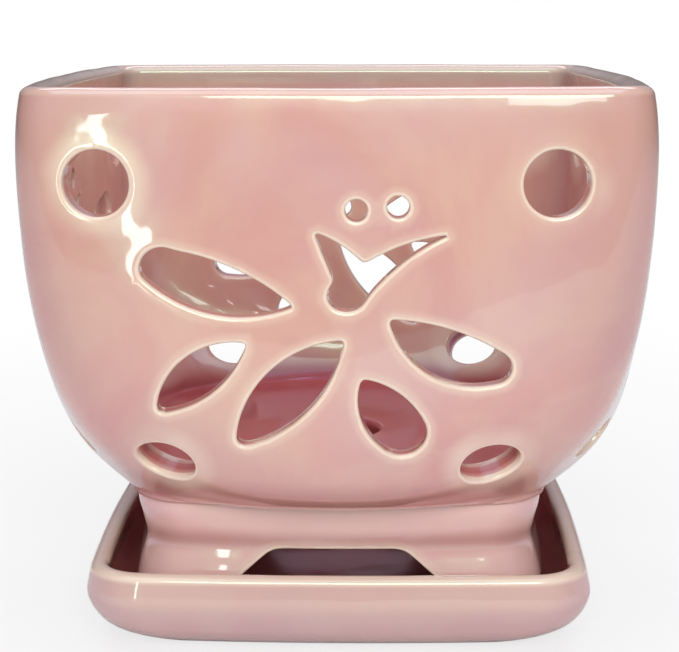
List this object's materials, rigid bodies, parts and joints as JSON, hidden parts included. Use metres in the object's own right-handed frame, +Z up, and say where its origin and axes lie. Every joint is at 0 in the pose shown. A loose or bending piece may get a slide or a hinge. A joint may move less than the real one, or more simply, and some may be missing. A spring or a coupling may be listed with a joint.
{
  "type": "orchid pot with saucer",
  "caption": "Square glazed orchid pot on arched feet, with petal-shaped and round cut-outs in its sides for air, standing in its drip saucer.",
  "frame": {"origin": "on the table, under the middle of the saucer", "axes": "+Z up, -Y towards the front, +X to the right"},
  "size_m": [0.1518, 0.1518, 0.137],
  "materials": {
    "pot_glaze": "glossy pink glaze that breaks cream along the edges",
    "saucer_glaze": "glossy pink glaze that breaks cream along the edges"
  },
  "bodies": {
    "saucer": {"saucer": "saucer_glaze"},
    "pot": {"pot": "pot_glaze"}
  },
  "joints": [
    {"name": "pot_lift", "type": "slide", "parent": "saucer", "child": "pot", "axis": [0, 0, 1], "range_m": [0, 0.06]}
  ]
}
